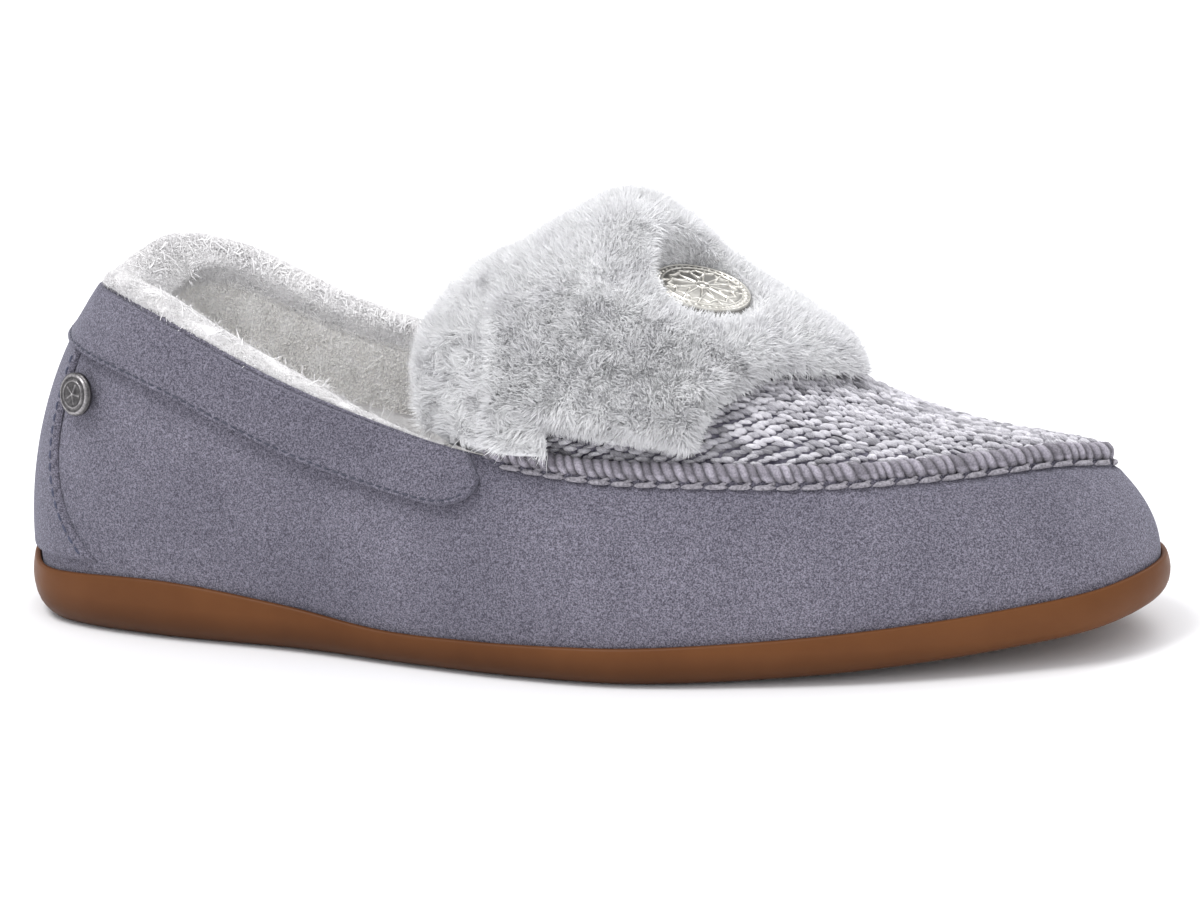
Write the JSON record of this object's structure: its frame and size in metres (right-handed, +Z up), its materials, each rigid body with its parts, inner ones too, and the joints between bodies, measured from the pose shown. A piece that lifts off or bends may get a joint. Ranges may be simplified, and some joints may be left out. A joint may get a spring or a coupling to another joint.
{
  "type": "house slipper",
  "caption": "Suede moccasin house slipper for the right foot, with a rubber cup sole, fur lining, tweed plug and a fold-over fur cuff.",
  "frame": {"origin": "bottom centre of the bounding box, on the floor under the middle of the slipper", "axes": "+X towards the toe, -Y towards the foot's outer side, +Z up from the floor"},
  "size_m": [0.266, 0.0978, 0.0965],
  "materials": {
    "gum_rubber": "satin, moulded",
    "foam": "closed-cell foam",
    "board": "pressed fibre",
    "suede": "napped suede, blue grey",
    "tweed": "coarse boucle weave, grey and white",
    "yarn": "twisted yarn, mauve grey",
    "thread": "sewing thread",
    "fur": "plush faux fur, white",
    "fleece": "short fleece, cream",
    "stiffener": "plain",
    "backing": "knitted backing cloth",
    "silver": "champagne silver, engraved",
    "pewter": "antique pewter"
  },
  "bodies": {
    "root": {"outsole": "gum_rubber", "midsole": "foam", "insole_board": "board", "footbed": "foam", "footbed_cover": "fleece", "suede_wrap": "suede", "backstay": "suede", "collar_band": "suede", "plug": "tweed", "seam_ridge": "yarn", "seam_thread": "yarn", "band_thread": "thread", "backstay_thread_lateral": "thread", "backstay_thread_medial": "thread", "quarter_lining": "fur", "vamp_lining": "fleece", "plug_lining": "fleece", "heel_counter": "stiffener", "toe_puff": "stiffener", "tongue_fur": "fur", "heel_rivet_cap": "pewter", "heel_rivet_post": "pewter", "heel_rivet_burr": "pewter"},
    "cuff": {"cuff_fur": "fur", "cuff_backing": "backing", "concho": "silver", "concho_post": "silver", "concho_washer": "silver"}
  },
  "joints": [
    {"name": "cuff_fold", "type": "hinge", "parent": "root", "child": "cuff", "pos_m": [-0.0152, 0.0015, 0.08], "axis": [0, -1, 0], "range_deg": [0, 60]}
  ]
}
